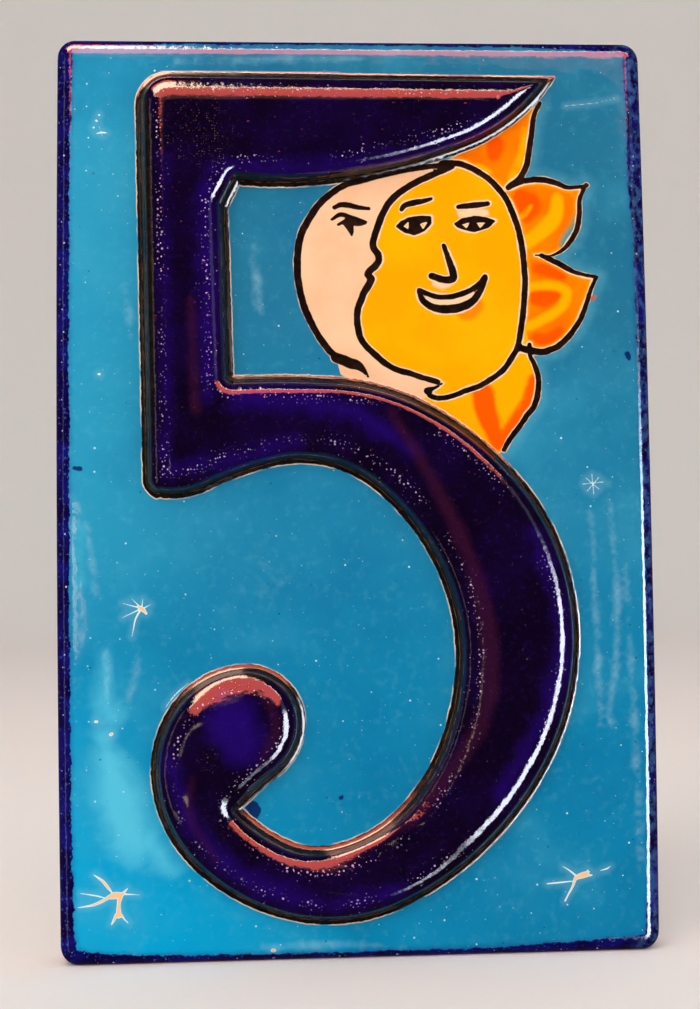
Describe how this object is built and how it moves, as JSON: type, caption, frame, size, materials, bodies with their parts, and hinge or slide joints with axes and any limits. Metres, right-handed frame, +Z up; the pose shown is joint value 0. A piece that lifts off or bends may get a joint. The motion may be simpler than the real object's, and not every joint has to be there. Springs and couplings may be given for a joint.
{
  "type": "house number tile",
  "caption": "Upright rectangular glazed earthenware tile with a raised numeral five in relief and a flat back, fixed to a wall beside a door.",
  "frame": {"origin": "centre of the flat back face, which lies against the wall", "axes": "+Z up along the tile's height, +X to the right for someone facing the numeral, -Y out of the front, so +Y points into the wall"},
  "size_m": [0.108, 0.0154, 0.166],
  "materials": {
    "glazed_body": "glossy turquoise and cobalt glaze over pale earthenware, bare on the back"
  },
  "bodies": {
    "root": {"number_tile": "glazed_body"}
  },
  "joints": []
}
